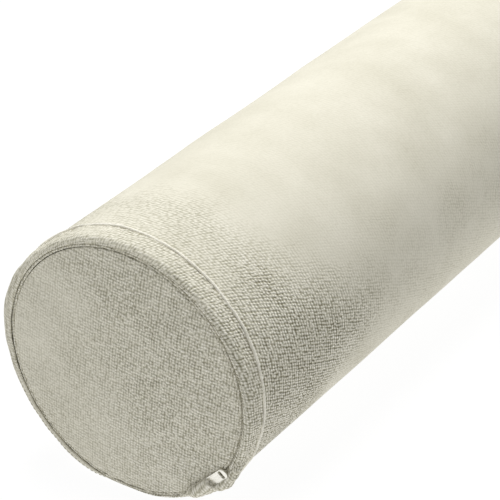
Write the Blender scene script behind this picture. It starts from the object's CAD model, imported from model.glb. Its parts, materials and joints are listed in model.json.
"""The looks of the bolster pillow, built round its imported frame.

Cloth pieces are paths in (radius, depth) that are given a thickness and swept round the bolster's
axis. Sizes are in millimetres until a point is placed. Depth runs into the bolster from the front
seam, and angles run from +X towards +Z as seen on the zipped end.
"""

from contextlib import contextmanager
from functools import cached_property
import json
import math
import random

import bmesh
import bpy
import numpy as np
from mathutils import Matrix, Vector, noise
from mathutils.bvhtree import BVHTree


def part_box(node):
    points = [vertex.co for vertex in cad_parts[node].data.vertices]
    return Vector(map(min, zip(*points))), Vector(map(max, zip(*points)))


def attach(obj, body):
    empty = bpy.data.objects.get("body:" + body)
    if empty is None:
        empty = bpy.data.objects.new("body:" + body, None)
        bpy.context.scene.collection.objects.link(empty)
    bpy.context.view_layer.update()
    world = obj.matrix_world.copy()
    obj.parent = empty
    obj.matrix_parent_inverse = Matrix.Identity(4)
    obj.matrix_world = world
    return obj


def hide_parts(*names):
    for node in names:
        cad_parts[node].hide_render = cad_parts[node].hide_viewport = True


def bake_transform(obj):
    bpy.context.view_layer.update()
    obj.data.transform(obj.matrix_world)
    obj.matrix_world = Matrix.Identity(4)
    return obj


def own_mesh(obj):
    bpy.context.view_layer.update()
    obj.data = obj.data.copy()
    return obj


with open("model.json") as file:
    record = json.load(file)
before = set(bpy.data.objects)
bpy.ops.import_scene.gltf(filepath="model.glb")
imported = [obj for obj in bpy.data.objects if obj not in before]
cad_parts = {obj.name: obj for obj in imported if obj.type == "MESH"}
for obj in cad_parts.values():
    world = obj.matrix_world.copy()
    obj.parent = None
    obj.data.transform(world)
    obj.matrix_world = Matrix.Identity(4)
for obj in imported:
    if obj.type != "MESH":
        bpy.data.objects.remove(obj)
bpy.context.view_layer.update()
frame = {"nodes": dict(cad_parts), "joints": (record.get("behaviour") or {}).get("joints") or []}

MM = 0.001
JOINTS = {joint["name"]: joint for joint in frame["joints"]}
AXIS = Vector(JOINTS["zip_travel"]["pos_m"])
PIVOT = Vector(JOINTS["pull_lift"]["pos_m"])


def depth_of(y):
    return (y - AXIS.y) / MM


# Sizes taken from the frame
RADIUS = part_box("cover_body")[1].x / MM
LENGTH = depth_of(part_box("cover_body")[1].y)
FLOOR = AXIS.z / MM                                  # how far the floor is below the axis
WELT_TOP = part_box("seam_welt")[1].x / MM
WELT_DEPTH = (depth_of(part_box("seam_welt")[0].y) + depth_of(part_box("seam_welt")[1].y)) / 2
DOME = -depth_of(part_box("front_panel")[0].y)
REAR_DOME = depth_of(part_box("rear_panel")[1].y) - LENGTH
PAD_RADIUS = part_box("liner_tube")[1].x / MM
PAD_FRONT = depth_of(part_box("liner_tube")[0].y)
PAD_BACK = depth_of(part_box("liner_tube")[1].y)
COIL_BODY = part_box("zip_coil_body")[1].x / MM        # outer radius of the outer coil
COIL_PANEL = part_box("zip_coil_panel")[1].x / MM
COIL_FRONT = depth_of(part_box("zip_coil_body")[0].y)
COIL_BACK = depth_of(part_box("zip_coil_body")[1].y)
TAPE_FRONT = depth_of(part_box("zip_tape_panel")[0].y)
SLIDER_ANGLE = math.degrees(math.atan2(PIVOT.z - AXIS.z, PIVOT.x - AXIS.x))
ZIP_START, ZIP_END = -54.0, 234.0                    # degrees: the ends of the coils

# The cover's cloth
CLOTH = 0.6
FLAP_RADIUS = RADIUS - 0.3
GROOVE = 70.0
SOFT_FROM = 69.4        # radius from which the layers give where the bolster is pressed flat
PRESS_ROUND = 1.6
LIP_BACK = 0.8          # depth of the turned-under lip's middle
ROLL = 0.34             # radius of the lip's and the rim's rolled edge
LIP_FRONT = LIP_BACK - 2 * ROLL
CORNER = 3.0            # radius of the flap's turn from the end to the side
BAND_END = WELT_DEPTH - 0.95
LIP_EDGE = GROOVE + 0.9 + ROLL + CLOTH / 2
RIM_EDGE = GROOVE - 0.8 - ROLL - CLOTH / 2
HEM_DEPTH = 3.05
TAB_ROLL = 6.0          # degrees that the lip tips the pull tab
TUCK_BACK = 6.0         # how far the lip's corner is pushed back under the weight

# The zip
TAPE = 0.4
TAPE_GAP = 0.36         # from a tape's edge to its coil
COIL_WIDTH = 1.6
COIL_WIRE = 0.42

# How far the groove strays from its circle, at angles in degrees
GROOVE_WANDER = (
    (-90, -0.3), (-50, 0.0), (-30, 0.35), (-10, 0.75), (12, 0.65), (42, 0.1), (70, -0.5),
    (100, -1.1), (132, -1.3), (158, -0.4), (180, 0.5), (215, 0.3), (250, 0.4), (263, 0.0),
)
# How far the flap and the welt stand out of round, at angles in degrees
OUT_OF_ROUND = (
    (-95, 0.0), (-20, 0.0), (60, 0.0), (100, -0.1), (127, -0.5), (144, 0.6), (157, 2.0), (170, 3.0),
    (181, 2.7), (195, 1.9), (230, 0.8), (242, 1.4), (255, 1.1),
)
LONG_SEAM = math.radians(232)

CREAM = (0.75, 0.722, 0.605)


# Placing points

def smooth_step(value, start, end):
    share = np.clip((value - start) / (end - start), 0.0, 1.0)
    return share * share * (3 - 2 * share)


def smooth_max(first, second, span):
    share = np.clip(0.5 + 0.5 * (first - second) / span, 0, 1)
    return second + (first - second) * share + span * share * (1 - share)


def to_world(across, depth, height):
    return np.stack(np.broadcast_arrays(across, depth, height), -1) * MM + np.array(AXIS)


def from_axis(points):
    """How far world points are across, along and up from the middle of the front seam, in millimetres."""
    return ((points - np.array(AXIS)) / MM).T


def place(radius, angle, depth):
    """World points, with the underside pressed flat: outer layers reach the floor, inner give less."""
    give = (FLOOR - SOFT_FROM) / (RADIUS - SOFT_FROM)
    pressed = np.where(radius > SOFT_FROM, SOFT_FROM + (radius - SOFT_FROM) * give, radius)
    height = smooth_max(radius * np.sin(angle), -np.minimum(pressed, FLOOR), PRESS_ROUND)
    return to_world(radius * np.cos(angle), depth, height)


def round_curve(keys, angle):
    """A closed curve through (degrees, value) keys, eased between neighbours; angle is in radians."""
    turn = np.degrees(angle)
    first = keys[0][0]
    turn = (turn - first) % 360 + first
    stops = list(keys) + [(first + 360, keys[0][1])]
    value = np.zeros_like(turn)
    for (a, low), (b, high) in zip(stops, stops[1:]):
        inside = (turn >= a) & (turn <= b)
        value = np.where(inside, low + (high - low) * smooth_step(turn, a, b), value)
    return value


def wobble(angle, seed, fewest, most, count=4):
    """A closed wave of about unit size round the bolster, the same each run."""
    pick = random.Random(seed)
    total = 0.0
    for _ in range(count):
        total = total + np.sin(pick.randint(fewest, most) * angle + pick.uniform(0, math.tau))
    return total / math.sqrt(count / 2)


def field(points, scale, seed):
    """Smooth noise from -1 to 1 at each point."""
    shift = Vector((seed * 7.31, seed * 3.17, seed * 5.93))
    flat = points.reshape(-1, 3)
    values = [noise.noise(Vector(p) * scale + shift) for p in flat]
    return np.array(values).reshape(points.shape[:-1])


# Paths and sections in (radius, depth)

def run(start, end, step):
    count = max(2, round(math.dist(start, end) / step) + 1)
    (x, y), (to_x, to_y) = start, end
    return [(x + (to_x - x) * k / (count - 1), y + (to_y - y) * k / (count - 1)) for k in range(count)]


def arc(centre, radius, start, end, steps):
    turns = [math.radians(start + (end - start) * k / steps) for k in range(steps + 1)]
    return [(centre[0] + radius * math.cos(a), centre[1] + radius * math.sin(a)) for a in turns]


def join(*pieces):
    """One path from several, without the points that repeat."""
    path = []
    for point in (p for piece in pieces for p in piece):
        if not path or math.dist(point, path[-1]) > 1e-6:
            path.append(point)
    return np.array(path)


def around(count, extra=()):
    """Angles of a full turn, closer together near the extra ones."""
    even = np.linspace(-math.pi, math.pi, count, endpoint=False)
    near = [centre + offset for centre in extra for offset in np.linspace(-0.06, 0.06, 25)]
    turns = np.concatenate([even, (np.array(near) + math.pi) % math.tau - math.pi])
    turns = np.sort(turns)
    return turns[np.concatenate([[True], np.diff(turns) > 1e-4])]


def lengths_along(points):
    return np.concatenate([[0], np.cumsum(np.linalg.norm(np.diff(points, axis=0), axis=1))])


def thicken(path, thickness, angles, open_start=False):
    """A closed outline round a path, with round ends, for each angle, and the lengths along it."""
    path = np.repeat(path[None], len(angles), 0)
    tangent = np.gradient(path, axis=1)
    tangent /= np.linalg.norm(tangent, axis=2, keepdims=True)
    normal = np.stack([tangent[..., 1], -tangent[..., 0]], -1)
    half = thickness / 2
    outer, inner = path + normal * half, (path - normal * half)[:, ::-1]

    def cap(k, sign):
        turns = np.radians([45, 90, 135])
        n, t = normal[:, k] * sign, tangent[:, k] * sign
        return np.stack([path[:, k] + half * (n * math.cos(a) + t * math.sin(a)) for a in turns], 1)

    parts = [outer, cap(-1, 1), inner]
    if not open_start:
        parts.append(cap(0, -1))
    section = np.concatenate(parts, 1)
    return section, lengths_along(np.concatenate([section[0], section[0, :1]]))


# Meshes

def grid_mesh(name, points, uv, wrap_rows, wrap_columns):
    """Quads over a grid of points. The uv grid has one more row or column where the grid wraps."""
    rows, columns = points.shape[:2]
    i, j = np.indices((rows - (not wrap_rows), columns - (not wrap_columns)))
    corners = [(i, j), (i + 1, j), (i + 1, j + 1), (i, j + 1)]
    faces = np.stack([(a % rows) * columns + b % columns for a, b in corners], -1).reshape(-1, 4)
    mesh = bpy.data.meshes.new(name)
    mesh.from_pydata(points.reshape(-1, 3), [], faces.tolist())
    if uv is not None:
        where = np.stack([uv[a, b] for a, b in corners], 2).reshape(-1, 2)
        layer = mesh.uv_layers.new(name="weave")
        layer.data.foreach_set("uv", where.astype(np.float32).ravel())
    return mesh


def add(name, mesh):
    obj = bpy.data.objects.new(name, mesh)
    bpy.context.scene.collection.objects.link(obj)
    return obj


@contextmanager
def editing(mesh):
    shape = bmesh.new()
    shape.from_mesh(mesh)
    yield shape
    shape.to_mesh(mesh)
    shape.free()


def clean(mesh, weld=1e-7):
    """Weld what coincides and turn the faces outwards."""
    with editing(mesh) as shape:
        bmesh.ops.remove_doubles(shape, verts=shape.verts, dist=weld)
        bmesh.ops.dissolve_degenerate(shape, edges=shape.edges, dist=1e-8)
        bmesh.ops.recalc_face_normals(shape, faces=shape.faces)


def swept(name, path, thickness, angles, shift=None, disc=False):
    """A ring or, with disc, a plate: a thickened path swept round the axis. shift moves its points."""
    section, lengths = thicken(path, thickness, angles, disc)
    turn = angles[:, None]
    radius, depth = section[..., 0], section[..., 1]
    if shift is not None:
        radius, depth = shift(radius, turn, depth)
    if disc:
        radius[:, 0] = radius[:, -1] = 0.0
    points = place(radius, turn, depth)
    full = np.append(angles, angles[0] + math.tau)[:, None]
    count = section.shape[1]
    length = lengths[None, :count + (not disc)]
    if disc:
        reach = np.minimum(length, lengths[count - 1] - length)
        uv = np.stack([reach * np.cos(full), reach * np.sin(full)], -1)
    else:
        uv = np.stack(np.broadcast_arrays(full * RADIUS, length), -1)
    mesh = grid_mesh(name, points, uv, True, not disc)
    clean(mesh)
    return add(name, mesh)


def as_mesh(obj):
    """Replace an object's curve or modifiers by the mesh they make."""
    bpy.context.view_layer.update()
    graph = bpy.context.evaluated_depsgraph_get()
    mesh = bpy.data.meshes.new_from_object(obj.evaluated_get(graph))
    name = obj.name
    if obj.type == "MESH":
        obj.modifiers.clear()
        obj.data = mesh
        mesh.name = name
        return obj
    place_was = obj.matrix_world.copy()
    bpy.data.objects.remove(obj)
    made = add(name, mesh)
    made.matrix_world = place_was
    return made


def draw(curve, line, closed=False):
    spline = curve.splines.new("POLY")
    spline.points.add(len(line) - 1)
    spline.points.foreach_set("co", np.hstack([line, np.ones((len(line), 1))]).ravel())
    spline.use_cyclic_u = closed


def wires(name, lines, thickness, sides=3):
    """Round wire or thread along lines of world points."""
    curve = bpy.data.curves.new(name, "CURVE")
    curve.dimensions = "3D"
    curve.bevel_depth = thickness / 2 * MM
    curve.bevel_resolution = sides - 1
    curve.use_fill_caps = True
    for line in lines:
        draw(curve, line)
    return as_mesh(add(name, curve))


def coordinates(mesh):
    co = np.empty(len(mesh.vertices) * 3)
    mesh.vertices.foreach_get("co", co)
    return co.reshape(-1, 3)


def dress(obj, material, body=None, stands_for=(), nap=0.0, flat_angle=None):
    """Give a finished mesh its resting coordinates, nap, shading, material, slot and body."""
    mesh = obj.data
    co = coordinates(mesh)
    rest = mesh.attributes.new("rest", "FLOAT_VECTOR", "POINT")
    rest.data.foreach_set("vector", co.astype(np.float32).ravel())
    brushed = mesh.attributes.new("nap", "FLOAT", "POINT")
    amount = nap(co) if callable(nap) else np.full(len(co), nap)
    brushed.data.foreach_set("value", amount.astype(np.float32))
    mesh.materials.clear()
    mesh.materials.append(material)
    mesh.shade_smooth()
    if flat_angle:
        mesh.set_sharp_from_angle(angle=math.radians(flat_angle))
    if stands_for:
        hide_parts(*stands_for)
    if body:
        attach(obj, body)
    return obj


# Materials

class Shader:
    """A material whose nodes are made by short calls."""

    def __init__(self, name, **settings):
        self.material = bpy.data.materials.new(name)
        self.material.use_nodes = True
        self.tree = self.material.node_tree
        self.surface = self.tree.nodes["Principled BSDF"]
        for setting, value in settings.items():
            socket = setting.replace("_", " ").title().replace("Ior", "IOR")
            self.surface.inputs[socket].default_value = value

    def node(self, kind, inputs=(), **settings):
        made = self.tree.nodes.new("ShaderNode" + kind)
        for key, value in settings.items():
            setattr(made, key, value)
        for key, value in dict(inputs).items():
            self.feed(made.inputs[key], value)
        return made

    def feed(self, socket, value):
        if isinstance(value, bpy.types.NodeSocket):
            self.tree.links.new(value, socket)
        else:
            socket.default_value = value

    def math(self, operation, *values, clamp=False):
        made = self.node("Math", operation=operation, use_clamp=clamp)
        for socket, value in zip(made.inputs, values):
            self.feed(socket, value)
        return made.outputs[0]

    def total(self, *values):
        found = values[0]
        for value in values[1:]:
            found = self.math("ADD", found, value)
        return found

    def times(self, first, second):
        return self.math("MULTIPLY", first, second)

    @cached_property
    def rest(self):
        """Where each point is while every joint is at rest, so that patterns move with the piece."""
        return self.attribute("rest")

    def noise(self, scale, detail=2.0, roughness=0.5, vector=None):
        inputs = {"Vector": vector or self.rest, "Scale": scale, "Detail": detail, "Roughness": roughness}
        return self.node("TexNoise", inputs).outputs["Fac"]

    def spread(self, value, low, high):
        """A value from 0 to 1 spread from low to high."""
        return self.total(self.times(value, high - low), low)

    def attribute(self, name, output="Vector"):
        return self.node("Attribute", attribute_name=name).outputs[output]

    def finish(self, colour, shade, height, distance, roughness, warmth=0.0):
        """The material, with a colour times its shade, warmer where darker, and relief of a distance."""
        green, blue = (self.math("POWER", shade, 1 + share * warmth) for share in (0.12, 1))
        scale = self.node("CombineXYZ", {0: shade, 1: green, 2: blue})
        tint = self.node("VectorMath", {0: scale.outputs[0], 1: colour}, operation="MULTIPLY")
        bump = self.node("Bump", {"Height": height, "Distance": distance * MM, "Strength": 1.0})
        for socket, value in (("Base Color", tint.outputs[0]), ("Normal", bump.outputs[0]),
                              ("Roughness", roughness)):
            self.tree.links.new(value, self.surface.inputs[socket])
        return self.material


def weave_pattern(shader, pitch, turn, wander, uneven=0.0, skew=0.0):
    """Plain-woven threads: their height from 0 to 1 and the tone of each."""
    drift = shader.node("TexNoise", {"Vector": shader.rest, "Scale": 230.0, "Detail": 2.0})
    centred = shader.node("VectorMath", {0: drift.outputs["Color"], 1: (0.5, 0.5, 0.5)},
                          operation="SUBTRACT")
    moved = shader.node("VectorMath", {0: centred.outputs[0], "Scale": wander}, operation="SCALE")
    uv = shader.node("UVMap", uv_map="weave").outputs[0]
    shifted = shader.node("VectorMath", {0: uv, 1: moved.outputs[0]}, operation="ADD")
    turned = shader.node("VectorRotate", {"Vector": shifted.outputs[0], "Angle": math.radians(turn)},
                         rotation_type="Z_AXIS")
    parts = shader.node("SeparateXYZ", {0: turned.outputs[0]})
    weft_at = shader.math("DIVIDE", parts.outputs[1], pitch[1])
    straight = shader.math("DIVIDE", parts.outputs[0], pitch[0])
    warp_at = shader.total(straight, shader.times(weft_at, skew))

    waves, rounds = [], []
    for count in (warp_at, weft_at):
        wave = shader.math("COSINE", shader.times(count, math.pi))
        waves.append(wave)
        rounds.append(shader.math("POWER", shader.math("ABSOLUTE", wave), 0.7))
    crossing = shader.times(shader.math("SIGN", waves[0]), waves[1])
    other = shader.times(shader.math("SIGN", waves[1]), waves[0])
    warp = shader.total(rounds[0], shader.times(crossing, 0.45))
    weft = shader.math("SUBTRACT", rounds[1], shader.times(other, 0.45))
    crown = shader.math("DIVIDE", shader.math("MAXIMUM", warp, weft), 1.45, clamp=True)

    # Uneven slubs: a jittered bump on each crossing
    count = shader.node("CombineXYZ", {0: warp_at, 1: weft_at})
    slub = shader.node("TexVoronoi", {"Vector": count.outputs[0], "Scale": 1.0, "Randomness": uneven},
                       voronoi_dimensions="2D")
    bump = shader.math("SUBTRACT", 1.0, shader.times(slub.outputs["Distance"], 1.5), clamp=True)
    height = shader.total(shader.times(crown, 0.4), shader.times(bump, 0.6))

    tones = []
    for along, across in ((weft_at, warp_at), (warp_at, weft_at)):
        thread = shader.node("CombineXYZ", {
            0: shader.times(shader.math("ROUND", across), 3.7),
            1: shader.times(along, 0.22),
        })
        tones.append(shader.noise(1.0, vector=thread.outputs[0]))
    on_top = shader.math("GREATER_THAN", warp, weft)
    tone = shader.node("Mix", {0: on_top, 2: tones[1], 3: tones[0]}, data_type="FLOAT").outputs[0]
    own = shader.node("SeparateXYZ", {0: slub.outputs["Color"]}).outputs[0]
    return height, shader.total(tone, shader.times(own, uneven * 0.8))


def woven(name, colour, pitch, turn=0.0, contrast=1.0, relief=0.75, light=1.0, skew=0.5, mottle=1.0):
    """Coarse woven cloth with a soft nap that partly hides the threads where it is brushed down."""
    wander, uneven, brushed, darkest, warmth = 1.3, 0.45, 0.93, 0.25, 0.24
    shader = Shader(name, roughness=0.93, sheen_weight=0.05, sheen_roughness=0.55,
                    specular_ior_level=0.06)
    height, tone = weave_pattern(shader, pitch, turn, wander, uneven, skew)
    fuzz = shader.noise(1500.0, 3.0, 0.65)
    patches = shader.noise(34.0, 4.0, 0.55)
    clouds = shader.noise(13.0, 2.0, 0.5)
    patchy = shader.spread(patches, -0.3, 0.3)
    nap = shader.math("ADD", shader.attribute("nap", "Fac"), patchy, clamp=True)
    open_weave = shader.math("SUBTRACT", 1.0, shader.times(nap, brushed))

    dots = shader.times(shader.spread(height, -1.0 * contrast, 0.62 * contrast), open_weave)
    yarns = shader.times(shader.spread(tone, -0.3, 0.18), open_weave)
    hairs = shader.times(shader.spread(fuzz, -0.3, 0.3), shader.spread(open_weave, 0.25, 1.0))
    shade = shader.total(dots, yarns, hairs, shader.spread(patches, -0.08 * mottle, 0.08 * mottle),
                         shader.spread(clouds, -0.05 * mottle, 0.05 * mottle))
    lit = shader.math("MAXIMUM", shader.total(shade, 1.0), darkest)
    threads = shader.times(height, open_weave)
    soft = shader.times(fuzz, shader.spread(open_weave, 0.08, 0.3))
    return shader.finish(colour, shader.times(lit, light), shader.total(threads, soft), relief,
                         shader.spread(height, 0.98, 0.88), warmth)


def plain_cloth(name, colour, pitch, relief, contrast):
    """Thin plain-woven cotton."""
    shader = Shader(name, roughness=0.9, sheen_weight=0.1, sheen_roughness=0.5, specular_ior_level=0.2)
    height, tone = weave_pattern(shader, pitch, 0.0, 0.3)
    patches = shader.noise(30.0, 3.0)
    shade = shader.total(shader.spread(height, -contrast, 0.06), shader.spread(tone, -0.06, 0.06),
                         shader.spread(patches, -0.05, 0.05))
    return shader.finish(colour, shader.total(shade, 1.02), height, relief,
                         shader.spread(patches, 0.85, 0.95))


def herringbone(name, colour):
    """Zip tape: fine ribs that slant one way and then the other."""
    shader = Shader(name, roughness=0.8, sheen_weight=0.08, specular_ior_level=0.25)
    uv = shader.node("SeparateXYZ", {0: shader.node("UVMap", uv_map="weave").outputs[0]})
    side = shader.math("PINGPONG", uv.outputs[1], 1.6)
    slant = shader.total(shader.times(uv.outputs[0], 1.25), shader.times(side, 1.1))
    ribs = shader.spread(shader.math("SINE", shader.times(slant, math.tau)), 0.5, 1.0)
    fuzz = shader.noise(1800.0, 2.0)
    shade = shader.total(shader.spread(ribs, -0.22, 0.05), shader.spread(fuzz, -0.06, 0.06))
    height = shader.total(ribs, shader.times(fuzz, 0.2))
    return shader.finish(colour, shader.total(shade, 1.0), height, 0.12, shader.spread(fuzz, 0.75, 0.9))


def thread_material(name, colour):
    """Twisted sewing thread."""
    shader = Shader(name, roughness=0.6, sheen_weight=0.1, specular_ior_level=0.35)
    strands = shader.noise(4200.0, 1.0)
    tone = shader.noise(120.0, 2.0)
    shade = shader.total(shader.spread(strands, 0.86, 1.08), shader.spread(tone, -0.05, 0.05))
    return shader.finish(colour, shade, strands, 0.08, shader.spread(strands, 0.5, 0.72))


def nylon(name, colour):
    shader = Shader(name, roughness=0.4, subsurface_weight=0.15, subsurface_scale=0.001,
                    specular_ior_level=0.5)
    tone = shader.noise(90.0, 2.0)
    scuffs = shader.noise(900.0, 3.0, 0.7)
    shade = shader.total(shader.spread(tone, 0.94, 1.05), shader.spread(scuffs, -0.03, 0.03))
    return shader.finish(colour, shade, scuffs, 0.02, shader.spread(scuffs, 0.32, 0.52))


def lacquered_metal(name, colour, metal):
    """Die-cast metal under cream lacquer, a little darker and duller where it is handled."""
    shader = Shader(name, roughness=0.3, metallic=metal, coat_weight=0.35, coat_roughness=0.15)
    tone = shader.noise(420.0, 3.0, 0.6)
    peel = shader.noise(1500.0, 1.0)
    marks = shader.noise(1100.0, 4.0, 0.75)
    worn = shader.node("MapRange", {"Value": marks, "From Min": 0.58, "From Max": 0.72},
                       interpolation_type="SMOOTHSTEP")
    wear = shader.times(worn.outputs[0], -0.12)
    shade = shader.total(shader.spread(tone, 0.95, 1.04), wear)
    return shader.finish(colour, shade, peel, 0.012, shader.spread(marks, 0.2, 0.46))


def foam_material(name, colour):
    """Open-cell foam: small dark cells in a pale yellow body."""
    shader = Shader(name, roughness=0.95, subsurface_weight=0.2, subsurface_scale=0.004)
    cells = shader.node("TexVoronoi", {"Vector": shader.rest, "Scale": 900.0}).outputs["Distance"]
    large = shader.node("TexVoronoi", {"Vector": shader.rest, "Scale": 330.0}).outputs["Distance"]
    tone = shader.noise(25.0, 3.0)
    shade = shader.total(shader.spread(cells, 1.08, 0.8), shader.spread(large, 0.04, -0.1),
                         shader.spread(tone, -0.04, 0.04))
    return shader.finish(colour, shade, shader.times(cells, large), -0.5, shader.spread(cells, 0.9, 1.0))


def wadding_material(name, colour):
    """Lofty fibre: fine tangled streaks."""
    shader = Shader(name, roughness=1.0, sheen_weight=0.3, sheen_roughness=0.6)
    bent = shader.node("TexNoise", {"Vector": shader.rest, "Scale": 150.0, "Detail": 3.0})
    mixed = shader.node("VectorMath", {0: bent.outputs["Color"], "Scale": 0.02}, operation="SCALE")
    moved = shader.node("VectorMath", {0: shader.rest, 1: mixed.outputs[0]}, operation="ADD")
    streaks = {"Vector": moved.outputs[0], "Scale": 240.0, "Distortion": 9.0, "Detail": 3.0}
    fibres = shader.node("TexWave", streaks).outputs["Fac"]
    loft = shader.noise(60.0, 4.0)
    shade = shader.total(shader.spread(fibres, 0.9, 1.04), shader.spread(loft, -0.06, 0.06))
    return shader.finish(colour, shade, shader.total(fibres, loft), 0.35, shader.spread(loft, 0.95, 1.0))


# Cloth simulation

def run_cloth(obj, pressure, pinned=None, slack=0.0):
    """Let a mesh settle as cloth under pressure and return where its points come to rest."""
    last = 20
    scene = bpy.context.scene
    cloth = obj.modifiers.new("Cloth", "CLOTH")
    settings = cloth.settings
    settings.quality = 5
    settings.mass = 0.3
    settings.tension_stiffness = settings.compression_stiffness = 15
    settings.bending_stiffness = 0.6
    settings.use_pressure = True
    settings.uniform_pressure_force = pressure
    settings.shrink_min = -slack
    settings.effector_weights.gravity = 0
    if pinned is not None:
        group = obj.vertex_groups.new(name="sewn")
        group.add([int(k) for k in pinned], 1.0, "REPLACE")
        settings.vertex_group_mass = group.name
    cloth.point_cache.frame_start, cloth.point_cache.frame_end = 1, last
    for step in range(1, last + 1):
        scene.frame_set(step)
    graph = bpy.context.evaluated_depsgraph_get()
    settled = bpy.data.meshes.new_from_object(obj.evaluated_get(graph))
    found = coordinates(settled)
    bpy.data.meshes.remove(settled)
    obj.modifiers.remove(cloth)
    scene.frame_set(1)
    return found


def read_off(tree, faces, corners_at, values, point, softness):
    """The value at the point of a mesh nearest to the given one, blended between the face's corners."""
    spot, _, face, _ = tree.find_nearest(point)
    corners = list(faces[face])
    weights = np.array([1 / (softness + (corners_at[c] - spot).length) for c in corners])
    return weights @ values[corners] / weights.sum()


def disc_grid(count, radius):
    """An even grid of points over a disc."""
    line = np.linspace(-1, 1, count)
    a, b = np.meshgrid(line, line, indexing="ij")
    swap = np.abs(a) > np.abs(b)
    reach = np.where(swap, a, b)
    with np.errstate(divide="ignore", invalid="ignore"):
        turn = np.where(swap, math.pi / 4 * b / a, math.pi / 2 - math.pi / 4 * a / b)
    turn = np.nan_to_num(turn)
    return reach * np.cos(turn) * radius, reach * np.sin(turn) * radius


def panel_dome(rim, slack, seed):
    """How far a sewn-in round panel bulges at (x, z), from 0 at the rim to about 1: settled as cloth."""

    x, z = disc_grid(49, rim)
    bulge = 0.02 * (1 - (x * x + z * z) / rim ** 2) * (1 + 0.3 * wobble(np.arctan2(z, x), seed, 2, 9))
    points = np.stack([x * MM, -bulge * rim * MM, z * MM], -1)
    obj = add("settling_panel", grid_mesh("settling_panel", points, None, False, False))
    edge = np.flatnonzero((x * x + z * z).ravel() > (rim * 0.985) ** 2)
    settled = run_cloth(obj, 4.0, edge, slack)
    faces = [tuple(p.vertices) for p in obj.data.polygons]
    flat = [Vector((p[0], 0, p[2])) for p in settled]
    rise = -settled[:, 1]
    highest = np.percentile(rise, 98)
    tree = BVHTree.FromPolygons(flat, faces)
    bpy.data.objects.remove(obj)

    def sampled(x, z):
        found = np.zeros(x.size)
        for k, (px, pz) in enumerate(zip(x.ravel(), z.ravel())):
            reach = math.hypot(px, pz)
            pull = min(1.0, rim * 0.999 / max(reach, 1e-9)) * MM
            found[k] = read_off(tree, faces, flat, rise, Vector((px * pull, 0, pz * pull)), 1e-9)
        return np.clip(found.reshape(x.shape) / highest, 0, 1.15)

    return sampled


# The cover

def groove_shift(angle):
    return round_curve(GROOVE_WANDER, angle) + 0.05 * wobble(angle, 3, 14, 40)


def tuck(angle):
    """1 under the bolster, where its weight pushes the lip back, and 0 elsewhere."""
    turn = (np.degrees(angle) + 90 + 180) % 360 - 180
    return smooth_step(turn, -27, 7) * (1 - smooth_step(turn, 29, 36.5))


def flap_shift(radius, angle, depth):
    lip = np.clip((FLAP_RADIUS - radius) / (FLAP_RADIUS - LIP_EDGE), 0, 1.3)
    front = smooth_step(depth, 4.5, 1.5)
    shift = np.maximum(groove_shift(angle), -0.12)
    radius = radius + shift * np.minimum(lip, 1) * front
    radius = radius + round_curve(OUT_OF_ROUND, angle) * (1 - lip * 0.7)
    corner = np.clip((radius - LIP_EDGE - 0.3) / (RADIUS - LIP_EDGE - 0.3), 0, 1)
    pushed = TUCK_BACK * corner * smooth_step(depth, BAND_END, 1.0)
    depth = depth + tuck(angle) * pushed
    near_welt = np.exp(-np.abs(depth - BAND_END) / 2.2)
    on_band = smooth_step(depth, 1.5, 4) * (radius > RADIUS - 2)
    radius = radius + on_band * (0.18 * np.sin(np.clip((depth - 2) / 10, 0, 1) * math.pi)
                                 + 0.12 * wobble(angle, 5, 50, 90) * near_welt
                                 + 0.14 * wobble(angle, 6, 9, 30))
    depth = depth + (1 - on_band) * front * 0.05 * wobble(angle, 8, 12, 46)
    return radius, depth


def make_flap(material):
    path = join(
        run((LIP_EDGE + 1.9, LIP_BACK), (LIP_EDGE, LIP_BACK), 0.5),
        arc((LIP_EDGE, LIP_BACK - ROLL), ROLL, 90, 270, 6),
        run((LIP_EDGE, LIP_FRONT), (FLAP_RADIUS - CORNER, LIP_FRONT), 0.35),
        arc((FLAP_RADIUS - CORNER, LIP_FRONT + CORNER), CORNER, -90, 0, 8),
        run((FLAP_RADIUS, LIP_FRONT + CORNER), (RADIUS - 0.25, BAND_END - 1.5), 0.55),
        run((RADIUS - 0.25, BAND_END - 1.5), (RADIUS + 0.15, BAND_END - 0.1), 0.3),
    )
    angles = around(540)
    flap = swept("flap_cloth", path, CLOTH, angles, flap_shift)
    return dress(flap, material, "cover", ["zip_flap"], flap_nap)


def flap_nap(co):
    """The nap lies smoother on the left of the end, and smoothest low down there."""
    x, depth, z = from_axis(co)
    up = z / RADIUS
    left = 0.5 * smooth_step(-x, 5, 60) * smooth_step(-depth, -9, -1)
    low = 0.95 * smooth_step(-x, -12, 16) * smooth_step(-up, 0.1, 0.5)
    return np.maximum(np.maximum(left, low), 0.4 * smooth_step(up, 0.6, 1))


def welt_shift(radius, angle, depth):
    top = smooth_step(radius, RADIUS - 1, WELT_TOP)
    radius = radius + top * (0.1 * wobble(angle, 11, 9, 34) + 0.05 * np.cos(180 * angle))
    radius = np.minimum(radius, WELT_TOP + 0.1) + round_curve(OUT_OF_ROUND, angle)
    return radius, depth + 0.2 * wobble(angle, 12, 7, 26) + top * 0.1 * wobble(angle, 13, 40, 80)


def make_welt(material):
    path = join(run((RADIUS - 1.3, WELT_DEPTH + 0.05), (WELT_TOP - 0.6, WELT_DEPTH), 0.25))
    angles = around(720)
    welt = swept("welt_cloth", path, 1.3, angles, welt_shift)
    return dress(welt, material, "cover", ["seam_welt"], 0.45)


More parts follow.
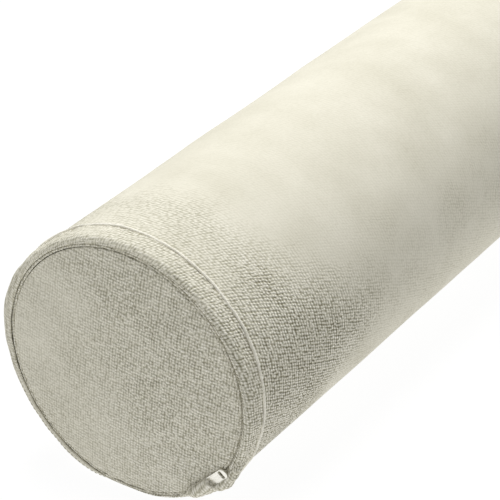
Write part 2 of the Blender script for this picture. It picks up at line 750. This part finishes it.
def tube_shift(radius, angle, depth):
    """Soft undulations, puckers at both seams, and the seam along the tube."""
    ends = np.minimum(np.abs(depth - WELT_DEPTH), np.abs(depth - LENGTH))
    pucker = wobble(angle, 21, 46, 84) * np.exp(-ends / 3.2) * 0.2
    around_point = np.broadcast_arrays(np.cos(angle) * 2.1, np.sin(angle) * 2.1, depth / 55)
    around_point = np.stack(around_point, -1)
    soft = field(around_point, 1.0, 1) * 0.35 + field(around_point, 2.6, 2) * 0.12
    away = (angle - LONG_SEAM + math.pi) % math.tau - math.pi
    arc_away = np.abs(away) * RADIUS
    stitch_puckers = 0.12 * np.sin(depth * math.tau / 7.3) * np.exp(-arc_away / 4)
    seam = -0.75 * np.exp(-(arc_away / 0.7) ** 2) + 0.28 * np.exp(-((arc_away - 2.4) / 1.3) ** 2)
    hold = smooth_step(depth, WELT_DEPTH, WELT_DEPTH + 12) * smooth_step(LENGTH - depth, 0, 10)
    outer = smooth_step(radius, RADIUS - 4, RADIUS - 1)
    seam = seam * smooth_step(depth, 14, 20)
    radius = radius + outer * (pucker + (soft + stitch_puckers) * hold + seam)
    follows = round_curve(OUT_OF_ROUND, angle) * smooth_step(depth, 34, 12)
    return np.minimum(radius, RADIUS + 0.5) + follows, depth


def make_tube(material):
    outer = RADIUS - CLOTH / 2
    start = WELT_DEPTH + 0.75
    turn = 1.7
    end = LENGTH - turn - CLOTH / 2
    path = join(
        run((outer - 1.3, start), (outer - 0.3, start + 0.15), 0.35),
        run((outer - 0.3, start + 0.15), (outer - 0.04, start + 1.9), 0.35),
        run((outer, start + 2.6), (outer, start + 20), 1.0),
        run((outer, start + 20), (outer, end - 20), 4.0),
        run((outer, end - 20), (outer, end), 1.0),
        arc((outer - turn, end), turn, 0, 120, 8),
        run((outer - turn - 0.9, end + 1.2), (outer - turn - 0.75, end + 0.1), 0.4),
    )
    angles = around(400, [LONG_SEAM])
    tube = swept("tube_cloth", path, CLOTH, angles, tube_shift)

    def nap(co):
        x, depth, z = from_axis(co)
        up = z / RADIUS
        edge = 72 * smooth_step(up, 0.0, 0.9) + 42 * smooth_step(-up, -0.05, 0.5)
        far = smooth_step(depth + edge, 78, 150)
        behind = smooth_step(-0.68 * x / RADIUS - 0.73 * up, 0.05, 0.5)
        woven_again = (1 - 0.6 * behind) * (1 - 0.6 * smooth_step(depth, 370, 440))
        brushed = (0.86 + 0.24 * smooth_step(up, 0.1, 0.8)) * far
        return np.maximum(brushed, 0.6 * smooth_step(up, 0.35, 0.95)) * woven_again

    return dress(tube, material, "cover", ["cover_body"], nap)


def panel_shift(bulge):
    def shift(radius, angle, depth):
        front = depth < LIP_BACK - ROLL
        rise = bulge(radius * np.cos(angle), radius * np.sin(angle))
        from_rim = RIM_EDGE - np.minimum(radius, RIM_EDGE)
        ripple = 0.13 * wobble(angle, 31, 38, 70) * np.exp(-from_rim / 5)
        inner = smooth_step(radius, RIM_EDGE, RIM_EDGE - 6)
        sheet = smooth_step(depth, 1.6, 0.9)
        depth = depth - sheet * (DOME - 0.25) * rise - np.where(front, ripple * (1 - inner * 0.4), 0)
        rim = smooth_step(radius, RIM_EDGE - 16, RIM_EDGE) * smooth_step(depth, 2.4, 1.6)
        return radius + np.clip(0.3 * groove_shift(angle), -0.25, 0.08) * rim, depth
    return shift


def make_front_panel(material):
    """The panel is one cloth across the fold: its lower part stays with the cover, the rest opens."""
    hem_outer, hem_inner = RIM_EDGE - 2.6, RIM_EDGE - 7.2
    path = join(
        run((0, LIP_FRONT), (RIM_EDGE, LIP_FRONT), 1.15),
        arc((RIM_EDGE, LIP_BACK - ROLL), ROLL, -90, 90, 6),
        run((RIM_EDGE, LIP_BACK), (RIM_EDGE - 1.9, LIP_BACK), 0.5),
        run((RIM_EDGE - 1.9, LIP_BACK), (hem_outer, HEM_DEPTH - 0.5), 0.4),
        run((hem_outer, HEM_DEPTH - 0.5), (hem_outer - 0.7, HEM_DEPTH), 0.4),
        run((hem_outer - 0.7, HEM_DEPTH), (hem_inner, HEM_DEPTH), 0.8),
    )
    angles = around(480)
    bulge = panel_dome(RIM_EDGE, 0.035, 41)
    panel = swept("front_panel_cloth", path, CLOTH, angles, panel_shift(bulge), True)

    def nap(co):
        x, _, z = from_axis(co)
        return 0.02 + 0.55 * smooth_step(-x - 0.25 * z, -30, 50)

    dress(panel, material, None, ["front_panel", "front_panel_lower"], nap)
    return fold_with_end(panel)


def fold_with_end(piece):
    """The piece bends where the end panel folds."""
    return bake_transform(piece)


def make_rear_panel(material):
    seam = RADIUS - CLOTH / 2 - 3.1
    edge = LENGTH - 1.25
    path = join(
        run((0, edge), (seam - 0.9, edge), 1.6),
        arc((seam - 0.9, edge - 0.9), 0.9, 90, 0, 5),
        run((seam, edge - 0.9), (seam, edge - 1.5), 0.3),
    )
    bulge = panel_dome(seam, 0.03, 47)
    ripple_from = seam - 1

    def shift(radius, angle, depth):
        rise = bulge(radius * np.cos(angle), radius * np.sin(angle))
        from_rim = ripple_from - np.minimum(radius, ripple_from)
        ripple = 0.2 * wobble(angle, 51, 40, 76) * np.exp(-from_rim / 4.5)
        return radius, depth + (REAR_DOME + 0.6) * rise + ripple * (radius < seam)

    angles = around(420)
    panel = swept("rear_panel_cloth", path, CLOTH, angles, shift, True)
    return dress(panel, material, "cover", ["rear_panel"], 0.35)


def make_rear_binding(material):
    """A folded tape over the raw edges of the rear seam, inside the cover."""
    low, high = RADIUS - 4.0, RADIUS - 1.75
    path = join(
        run((high, LENGTH - 2.3), (high, LENGTH - 3.0), 0.4),
        arc(((low + high) / 2, LENGTH - 3.0), (high - low) / 2, 0, -180, 8),
        run((low, LENGTH - 3.0), (low, LENGTH - 2.3), 0.4),
    )
    path[:, 1] = np.maximum(path[:, 1], PAD_BACK + 0.45)
    angles = around(240)
    binding = swept("rear_seam_tape", path, 0.3, angles)
    return dress(binding, material, "cover", ["rear_seam_binding"])


def make_lip_stitches(material):
    """Single stitches round the lip, each a short arc that dips into the cloth at its ends."""
    radius, depth = LIP_EDGE + 1.35, LIP_FRONT - CLOTH / 2 - 0.06
    pitch, share, thread = 2.6, 0.68, 0.34
    count = round(math.tau * radius / pitch)
    lines = []
    for k in range(count):
        turns = (k + np.linspace(-share / 2, share / 2, 6)) * math.tau / count - math.pi
        sink = thread * np.array([1, 0.25, 0, 0, 0.25, 1])
        reach, back = flap_shift(np.full(6, radius), turns, np.full(6, depth))
        lines.append(place(reach, turns, back + sink))
    row = wires("lip_stitches", lines, thread)
    return dress(row, material, "cover", ["lip_topstitch"])


# The zip

def part_turn(start, end, spacing=0.9):
    return np.radians(np.linspace(start, end, round((end - start) / spacing) + 1))


def swept_part(name, path, thickness, angles):
    """A strip swept through part of a turn, closed at both ends."""
    section, lengths = thicken(path, thickness, angles)
    points = place(section[..., 0], angles[:, None], section[..., 1])
    uv = np.stack(np.broadcast_arrays(angles[:, None] * RADIUS, lengths[None]), -1)
    return add(name, closed_strip(name, points, uv))


def closed_strip(name, points, uv):
    """A strip from a grid of sections, with both its ends filled."""
    full = np.concatenate([uv, uv[:, :1]], 1)
    mesh = grid_mesh(name, points, full, False, True)
    with editing(mesh) as shape:
        bmesh.ops.holes_fill(shape, edges=[e for e in shape.edges if e.is_boundary], sides=0)
        bmesh.ops.recalc_face_normals(shape, faces=shape.faces)
    return mesh


def make_tapes(material, thread):
    over = 4.0
    middle = TAPE_FRONT + 0.25
    angles = part_turn(ZIP_START - over, ZIP_END + over)
    outer = join(
        run((COIL_BODY + TAPE_GAP, middle), (RADIUS - 1.7, middle), 0.3),
        arc((RADIUS - 1.7, middle + 0.5), 0.5, -90, 0, 4),
        run((RADIUS - 1.2, middle + 0.5), (RADIUS - 1.2, BAND_END), 0.9),
    )
    tape = swept_part("tape_on_flap", outer, TAPE, angles)
    dress(tape, material, "cover", ["zip_tape_body"], flat_angle=50)
    edge = COIL_PANEL - COIL_WIDTH - TAPE_GAP
    inner = join(run((edge, middle), (edge - 9.4, middle), 0.6))
    tape = swept_part("tape_on_panel", inner, TAPE, angles)
    stands_for = ["zip_tape_panel", "zip_tape_lower_right", "zip_tape_lower_left"]
    dress(tape, material, None, stands_for, flat_angle=50)
    fold_with_end(tape)
    rows = []
    for radius in (edge - 0.9, edge - 2.0, edge - 6.5):
        count = round(radius * (angles[-1] - angles[0]) / 2.4)
        for k in range(count):
            turns = angles[0] + (k + np.linspace(0.18, 0.82, 5)) * (angles[-1] - angles[0]) / count
            sink = 0.2 * np.array([1, 0.2, 0, 0.2, 1])
            rows.append(place(np.full(5, radius), turns, middle + 0.3 - sink))
    seam = wires("tape_stitches", rows, 0.26, 2)
    dress(seam, thread)
    return fold_with_end(seam)


def coil_line(outer_radius, start, end):
    """The centre-line of a coil of teeth: a flattened helix round the end."""
    pitch, per_turn = 1.3, 12
    across = (COIL_WIDTH - COIL_WIRE) / 2
    middle = (COIL_FRONT + COIL_BACK) / 2
    high = (COIL_BACK - COIL_FRONT - COIL_WIRE) / 2
    centre = outer_radius - COIL_WIDTH / 2
    turns = round(math.radians(end - start) * centre / pitch)
    step = np.arange(turns * per_turn + 1)
    angle = np.radians(start) + math.radians(end - start) * step / step[-1]
    spin = step * math.tau / per_turn
    return place(centre + across * np.cos(spin), angle, middle + high * np.sin(spin))


def make_coils(material):
    start, end = ZIP_START + 0.2, ZIP_END - 0.2
    body = wires("coil_on_flap", [coil_line(COIL_BODY, start, end)], COIL_WIRE)
    dress(body, material, "cover", ["zip_coil_body"])
    panel = wires("coil_on_panel", [coil_line(COIL_PANEL, start, end)], COIL_WIRE)
    stands_for = ["zip_coil_panel", "zip_coil_lower_right", "zip_coil_lower_left"]
    dress(panel, material, None, stands_for)
    return fold_with_end(panel)


def even_copy(name, mesh, voxel):
    """A copy of a mesh that will be remeshed in even steps."""
    obj = add(name, mesh.copy())
    remesh = obj.modifiers.new("Even", "REMESH")
    remesh.mode = "VOXEL"
    remesh.voxel_size = voxel * MM
    return obj


def rounded_copy(name, node, voxel):
    """A node's solid with its edges rounded, as cast or moulded."""
    obj = even_copy(name, frame["nodes"][node].data, voxel)
    smooth = obj.modifiers.new("Round", "SMOOTH")
    smooth.iterations = 3
    smooth.factor = 0.5
    return as_mesh(obj)


def make_stops(material):
    for node in ("top_stop_body", "top_stop_panel", "bottom_stop"):
        stop = rounded_copy(node + "_cast", node, 0.14)
        dress(stop, material, "cover", [node])


def make_slider(material):
    slider = rounded_copy("slider_cast", "zip_slider", 0.13)
    return dress(slider, material, "slider", ["zip_slider"])


def pull_frame():
    """The tab's own frame: X along it, Z out of the end."""
    across = Vector(JOINTS["pull_lift"]["axis"])
    out = Vector((0, -1, 0))
    along = across.cross(out) * -1
    if along.z < 0:
        along = -along
    side = out.cross(along)
    return Matrix.Translation(PIVOT) @ Matrix((along, side, out)).transposed().to_4x4()


def plate(name, outlines, thickness, edge):
    """A flat plate with rounded edges from a filled curve and its holes, in the tab's frame."""
    curve = bpy.data.curves.new(name, "CURVE")
    curve.dimensions = "2D"
    curve.fill_mode = "BOTH"
    curve.extrude = (thickness / 2 - edge) * MM
    curve.bevel_depth = edge * MM
    curve.bevel_resolution = 3
    curve.offset = -edge * MM
    for outline in outlines:
        draw(curve, [(x * MM, y * MM, 0) for x, y in outline], closed=True)
    obj = add(name, curve)
    obj.matrix_world = pull_frame() @ Matrix.Rotation(math.radians(TAB_ROLL), 4, "X")
    made = as_mesh(obj)
    made.data.transform(made.matrix_world)
    made.matrix_world = Matrix.Identity(4)
    clean(made.data, 1e-6)
    return made


def tab_outline():
    """The tab's outline: a narrow neck that widens to a body with a round end."""
    start, neck, wide, tip = -0.5, 2.2, 2.9, 24.0
    turns = [math.radians(-90 + 180 * k / 16) for k in range(17)]
    end = [(tip + 2.6 * (math.cos(a) - 1), wide * math.sin(a)) for a in turns]
    lower = [(start, -neck), (4.4, -neck), (4.8, -neck - 0.1), (5.5, -wide + 0.05), (6.2, -wide)]
    upper = [(x, -y) for x, y in lower]
    return lower + end + upper[::-1]


def slot_outline(near, far, half, corner):
    """A rectangle with round corners, drawn as a hole."""
    points = []
    for x, y, first in ((far - corner, half - corner, 0), (near + corner, half - corner, 90),
                        (near + corner, corner - half, 180), (far - corner, corner - half, 270)):
        for k in range(5):
            a = math.radians(first + 22.5 * k)
            points.append((x + corner * math.cos(a), y + corner * math.sin(a)))
    return points


def make_pull_tab(material):
    """The tab: a thin plate with a raised rim, two ribs along it and a slot across its end."""
    bridge_slot = slot_outline(0.65, 3.9, 1.25, 0.35)
    end_slot = slot_outline(19.75, 21.5, 2.3, 0.5)
    base = plate("pull_tab_cast", [tab_outline(), bridge_slot, end_slot], 0.8, 0.2)
    well = slot_outline(5.8, 19.2, 2.1, 0.6)
    rim = plate("rim", [tab_outline(), bridge_slot, well, end_slot], 1.2, 0.28)
    ribs = plate("ribs", [[(6.4, y - 0.28), (18.7, y - 0.28), (18.7, y + 0.28), (6.4, y + 0.28)]
                          for y in (-0.75, 0.75)], 1.1, 0.22)
    for extra in (rim, ribs):
        union = base.modifiers.new("Join", "BOOLEAN")
        union.operation = "UNION"
        union.object = extra
        base = as_mesh(base)
        bpy.data.objects.remove(extra)
    return dress(base, material, "pull", ["pull_tab"], flat_angle=40)


def make_hood(material):
    """The part of the flap that the slider lifts: a tunnel over the bridge and a lip by the tab."""
    opening = SLIDER_ANGLE + 8.6
    turns = np.concatenate([
        np.linspace(SLIDER_ANGLE - 13.5, opening - 0.6, 46),
        np.linspace(opening - 0.4, opening + 1.4, 10),
        np.linspace(opening + 1.9, SLIDER_ANGLE + 27, 52),
    ])
    # Seats of the cloth in (radius, depth), at degrees from the slider: the tunnel runs up to its mouth
    # at 8.2 degrees, and the lip stands beside the tab from there on
    shapes = {
        -13.5: ((70.6, 0.5), (70.8, 0.5), (71.0, 0.7), (71.2, 1.2), (71.2, 1.7), (71.1, 2.2)),
        -8.5: ((69.7, 0.0), (70.2, -1.0), (71.0, -1.0), (72.0, 0.2), (72.3, 1.3), (72.4, 2.3)),
        -2.5: ((67.0, -1.0), (68.2, -3.7), (71.2, -3.9), (73.5, -1.4), (74.4, 2.2), (74.2, 8.5)),
        8.2: ((66.8, -1.2), (68.0, -3.5), (71.5, -3.7), (74.0, -1.6), (75.6, 2.4), (74.8, 10.0)),
        10.0: ((72.5, -0.2), (72.9, -1.9), (74.1, -2.6), (76.3, -1.2), (77.2, 3.0), (75.2, 11.5)),
        13.0: ((72.2, 0.3), (72.9, -1.2), (74.5, -2.1), (77.3, -0.6), (78.0, 3.4), (75.3, 11.5)),
        17.5: ((72.7, 0.5), (73.3, -0.7), (74.8, -1.3), (76.9, 0.0), (77.2, 3.6), (75.0, 11.3)),
        27.0: ((73.3, 0.9), (73.5, 0.6), (74.0, 0.8), (74.5, 1.8), (74.6, 4.6), (74.6, 9.5)),
    }
    at = [SLIDER_ANGLE + turn for turn in shapes]
    keys = np.array(list(shapes.values()))
    degrees = np.clip(turns, at[0], at[-1])
    seats = np.zeros((len(turns), 6, 2))
    for k in range(len(at) - 1):
        inside = (degrees >= at[k]) & (degrees <= at[k + 1])
        share = smooth_step(degrees, at[k], at[k + 1])[:, None, None]
        seats = np.where(inside[:, None, None], keys[k] + (keys[k + 1] - keys[k]) * share, seats)
    across = bend_through(seats, 7)
    angle = np.radians(turns)[:, None]
    points = place(across[..., 0] + 0.12 * wobble(angle, 61, 60, 120), angle, across[..., 1])
    lengths = lengths_along(across[60])
    uv = np.stack(np.broadcast_arrays(angle * RADIUS, lengths[None]), -1)
    split = int(np.searchsorted(turns, opening + 0.4))
    parts = {"flap_beside_tab": slice(split, None), "flap_over_slider": slice(0, split + 1)}
    for name, part in parts.items():
        hood = add(name, grid_mesh(name, points[part], uv[part], False, False))
        solid = hood.modifiers.new("Cloth", "SOLIDIFY")
        solid.thickness = CLOTH * MM
        solid.offset = 0
        smooth = hood.modifiers.new("Soft", "SUBSURF")
        smooth.levels = smooth.render_levels = 1
        hood = as_mesh(hood)
        clean(hood.data)
        dress(hood, material, "slider", (), 0.2)
    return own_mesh(hood)


def make_under_edge(material):
    """The flap's soft inner edge: closes the groove but for the slider's gap, and moves with it."""
    path = join(
        run((69.45, 1.28), (69.45, 0.4), 0.3), arc((69.8, 0.4), 0.35, 180, 270, 4),
        run((69.85, 0.05), (70.0, 0.05), 0.15), arc((70.0, 0.45), 0.4, 270, 360, 4),
        run((70.4, 0.45), (70.45, 1.15), 0.3), run((70.8, 1.33), (71.7, 1.35), 0.4),
    )
    angles = part_turn(SLIDER_ANGLE + 3.1, SLIDER_ANGLE + 360 - 7.0, 0.75)
    section, _ = thicken(path, 0.34, angles)
    turn = angles[:, None]
    radius = section[..., 0] + 0.04 * wobble(turn, 81, 30, 70)
    depth = section[..., 1] + (section[..., 0] < 70.8) * 0.07 * wobble(turn, 82, 16, 60)
    lowest = -71.6
    height = np.maximum(radius * np.sin(turn), lowest)
    across = radius * np.cos(turn)
    points = to_world(across, depth, height)
    uv = np.stack([across + 0 * height, height], -1)
    edge = add("flap_under_edge", closed_strip("flap_under_edge", points, uv))
    return dress(edge, material, "slider", (), 0.1)


def bend_through(seats, steps):
    """Smooth curves through the seats of each row (Catmull-Rom)."""
    before, after = 2 * seats[:, :1] - seats[:, 1:2], 2 * seats[:, -1:] - seats[:, -2:-1]
    padded = np.concatenate([before, seats, after], 1)
    found = []
    for k in range(seats.shape[1] - 1):
        a, b, c, d = (padded[:, k + n] for n in range(4))
        for step in range(steps):
            t = step / steps
            found.append(0.5 * (2 * b + (c - a) * t + (2 * a - 5 * b + 4 * c - d) * t * t
                                + (3 * b - a - 3 * c + d) * t ** 3))
    found.append(seats[:, -1])
    return np.stack(found, 1)


# The pad

def make_pad(liner, wadding, foam):
    bulge, rear_bulge = 4.3, 1.2
    inside = PAD_RADIUS - 0.9
    angles = around(200)

    def end_face(outline_radius, depth, rise, sign):
        return [(r, depth - sign * rise * (1 - (r / outline_radius) ** 2))
                for r in np.linspace(0, outline_radius, 26)]

    def lumpy(radius, angle, depth):
        spot = np.stack(np.broadcast_arrays(radius * np.cos(angle), radius * np.sin(angle), depth), -1)
        ends = (depth < PAD_FRONT + 2) * 1.0 - (depth > PAD_BACK - 2)
        gathers = smooth_step(wobble(angle, 73, 16, 34, 6), -0.6, 1.1) * smooth_step(radius, 34, 66)
        gathers = gathers * smooth_step(inside - radius, 1.0, 5.0)
        dents = smooth_step(field(spot, 0.06, 10), -0.6, 1.0) * smooth_step(inside - radius, 1.0, 16.0)
        radius = radius + 0.25 * field(spot, 0.045, 9) * (radius > 60)
        return radius, depth + ends * (1.3 * gathers + 1.5 * dents)

    corner = 2.2
    front, back = PAD_FRONT + 0.3, PAD_BACK - 0.3
    edge = inside - corner
    outline = join(
        end_face(edge, front, bulge, 1),
        arc((edge, front + corner), corner, -90, 0, 6),
        run((inside, front + corner), (inside, back - corner), 5.0),
        arc((edge, back - corner), corner, 0, 90, 6),
        end_face(edge, back, rear_bulge, -1)[::-1],
    )
    pad = solid_of_turn("pad_liner", outline, angles, lumpy)
    settle_pad(pad)
    dress(pad, liner, "cover", ["liner_tube", "liner_end_front", "liner_end_rear"])

    cords = []
    turns = np.linspace(-math.pi, math.pi, 241)
    for depth in (front + corner * 0.55, back - corner * 0.55):
        reach = inside - corner * 0.12 + 0.1 * wobble(turns, 71, 20, 60)
        cords.append(place(reach, turns, depth + 0.1 * wobble(turns, 72, 14, 40)))
    piping = wires("pad_piping", cords, 1.5, 4)
    dress(piping, liner, "cover")

    disc, loft = 2.9, 3.0            # thickness of the end discs and of the sleeve
    sleeve_out, sleeve_in = inside - corner - 0.2, inside - corner - 3.4
    wrap_front, wrap_back = front + corner + disc + 0.6, back - corner - disc - 0.6
    sleeve = join(run((sleeve_out, wrap_front), (sleeve_out, wrap_back), 8.0))
    sleeve[:, 0] -= 1.6
    wrap = swept("wadding_sleeve", sleeve, loft, angles, lumpy)
    dress(wrap, wadding, "cover", ["wadding_wrap"])
    for name, depth, node in (("wadding_front", front + corner * 0.6, "wadding_disc_front"),
                              ("wadding_rear", back - corner * 0.6 - disc, "wadding_disc_rear")):
        rim = sleeve_out - 0.6
        outline = join(
            end_face(rim, depth, 1.2, 1), arc((rim, depth + disc / 2), disc / 2, -90, 90, 6),
            end_face(rim, depth + disc, 1.0, -1)[::-1],
        )
        layer = solid_of_turn(name, outline, angles, lumpy)
        dress(layer, wadding, "cover", [node])
    core, rounding = sleeve_in - 0.5, 6.0
    outline = join(
        run((0, wrap_front), (core - rounding, wrap_front), 6.0),
        arc((core - rounding, wrap_front + rounding), rounding, -90, 0, 6),
        run((core, wrap_front + rounding), (core, wrap_back - rounding), 8.0),
        arc((core - rounding, wrap_back - rounding), rounding, 0, 90, 6),
        run((core - rounding, wrap_back), (0, wrap_back), 6.0),
    )
    block = solid_of_turn("foam_block", outline, angles)
    dress(block, foam, "cover", ["foam_core"])


def solid_of_turn(name, outline, angles, shift=None):
    """A closed solid of revolution whose outline runs from the axis to the axis."""
    section = np.repeat(outline[None], len(angles), 0)
    lengths = lengths_along(outline)
    turn = angles[:, None]
    radius, depth = section[..., 0].copy(), section[..., 1].copy()
    if shift:
        radius, depth = shift(radius, turn, depth)
    radius[:, 0] = radius[:, -1] = 0
    full = np.append(angles, angles[0] + math.tau)[:, None]
    rolled = np.stack(np.broadcast_arrays(full * RADIUS, lengths[None]), -1)
    flat = np.stack([outline[:, 0] * np.cos(full), outline[:, 0] * np.sin(full)], -1)
    uv = np.where((outline[:, 0] < outline[:, 0].max() - 1.2)[None, :, None], flat, rolled)
    mesh = grid_mesh(name, place(radius, turn, depth), uv, True, False)
    clean(mesh)
    return add(name, mesh)


def settle_pad(pad):
    """Swell a coarse copy of the pad as cloth and move the pad's own points by as much, within a cap."""
    cap = 0.8 * MM
    copy = as_mesh(even_copy("settling_pad", pad.data, 6))
    before = coordinates(copy.data)
    after = run_cloth(copy, 4.0)
    moved = after - before
    size = np.linalg.norm(moved, axis=1, keepdims=True)
    moved *= np.minimum(1, cap / np.maximum(size, 1e-9))
    moved -= moved.mean(0)
    faces = [tuple(p.vertices) for p in copy.data.polygons]
    corners_at = [Vector(p) for p in before]
    tree = BVHTree.FromPolygons(corners_at, faces)
    co = coordinates(pad.data)
    for point in co:
        point += read_off(tree, faces, corners_at, moved, Vector(point), 1e-6)
    reach = np.hypot(co[:, 0] - AXIS.x, co[:, 2] - AXIS.z)
    most = (PAD_RADIUS + 0.1) * MM
    scale = np.minimum(1, most / np.maximum(reach, 1e-9))
    co[:, 0] = AXIS.x + (co[:, 0] - AXIS.x) * scale
    co[:, 2] = np.maximum(AXIS.z + (co[:, 2] - AXIS.z) * scale, 1.4 * MM)
    pad.data.vertices.foreach_set("co", co.ravel())
    pad.data.update()
    bpy.data.objects.remove(copy)


# The stage

def make_camera():
    azimuth, elevation = math.radians(33.31), math.radians(30.46)
    forward = Vector((-math.sin(azimuth) * math.cos(elevation), math.cos(azimuth) * math.cos(elevation),
                      -math.sin(elevation)))
    camera = add("camera", bpy.data.cameras.new("camera"))
    camera.data.lens = 161.3
    camera.data.sensor_width = 36.0
    camera.location = (0.5661, -1.0463, 0.6928)
    camera.rotation_mode = "QUATERNION"
    camera.rotation_quaternion = forward.to_track_quat("-Z", "Y")
    camera.data.clip_start, camera.data.clip_end = 0.01, 50
    bpy.context.scene.camera = camera


def area_light(name, place_at, target, size, power):
    lamp = bpy.data.lights.new(name, "AREA")
    lamp.shape = "SQUARE"
    lamp.size = size
    lamp.energy = power
    obj = add(name, lamp)
    obj.location = place_at
    obj.rotation_mode = "QUATERNION"
    obj.rotation_quaternion = (Vector(target) - Vector(place_at)).to_track_quat("-Z", "Y")


def make_stage():
    floor = add("floor", bpy.data.meshes.new("floor"))
    with editing(floor.data) as shape:
        bmesh.ops.create_circle(shape, cap_ends=True, segments=64, radius=9.0)
    floor.location.z = -0.0002
    paint = Shader("pale_floor", roughness=0.9, specular_ior_level=0.0, base_color=(0.1, 0.1, 0.1, 1),
                   emission_color=(1.0, 1.0, 1.0, 1), emission_strength=0.94)
    floor.data.materials.append(paint.material)
    backdrop = add("backdrop", bpy.data.meshes.new("backdrop"))
    with editing(backdrop.data) as shape:
        bmesh.ops.create_icosphere(shape, subdivisions=4, radius=8.9)
    backdrop.data.materials.append(paint.material)
    backdrop.visible_diffuse = backdrop.visible_glossy = backdrop.visible_shadow = False

    world = bpy.data.worlds.new("studio")
    bpy.context.scene.world = world
    world.use_nodes = True
    world.node_tree.nodes["Background"].inputs["Color"].default_value = (1.0, 1.0, 1.0, 1)
    world.node_tree.nodes["Background"].inputs["Strength"].default_value = 0.21
    area_light("softbox", (-0.3, 0.3, 1.95), (0, 0, 0.05), 1.1, 39.6)
    area_light("fill", (-0.5, -1.9, 0.9), (0, -0.3, 0.07), 1.5, 3.6)
    bpy.context.scene.view_settings.view_transform = "Standard"


def make_bolster():
    panel_cloth = woven("panel_weave", CREAM, (1.6, 1.8), turn=6, contrast=0.66, light=0.985, skew=0.0)
    flap_cloth = woven("flap_weave", CREAM, (1.75, 1.9), turn=7, contrast=0.95)
    tube_cloth = woven("tube_weave", CREAM, (math.tau * RADIUS / 260, 2.0), contrast=1.1, relief=0.95,
                       mottle=1.6)
    edge_cloth = woven("welt_weave", CREAM, (1.8, 1.5), contrast=0.2, relief=0.2, light=1.26)
    thread = thread_material("thread", (0.78, 0.755, 0.65))
    tape = herringbone("tape", (0.70, 0.675, 0.58))
    nylon_material = nylon("nylon", (0.74, 0.715, 0.62))
    tab_metal = lacquered_metal("tab_lacquer", (0.97, 0.95, 0.87), 0.85)
    slider_metal = lacquered_metal("slider_lacquer", (0.9, 0.88, 0.8), 0.8)
    liner = plain_cloth("liner", (0.88, 0.86, 0.79), (1.0, 1.0), 0.2, 0.4)

    make_tube(tube_cloth)
    make_flap(flap_cloth)
    make_welt(edge_cloth)
    make_front_panel(panel_cloth)
    make_rear_panel(panel_cloth)
    make_rear_binding(tape)
    make_lip_stitches(thread)
    make_tapes(tape, thread)
    make_coils(nylon_material)
    make_stops(nylon_material)
    make_slider(slider_metal)
    make_pull_tab(tab_metal)
    make_hood(flap_cloth)
    make_under_edge(panel_cloth)
    make_pad(liner, wadding_material("wadding_fibre", (0.86, 0.86, 0.84)),
             foam_material("open_cell_foam", (0.82, 0.76, 0.58)))


make_camera()
make_stage()
make_bolster()
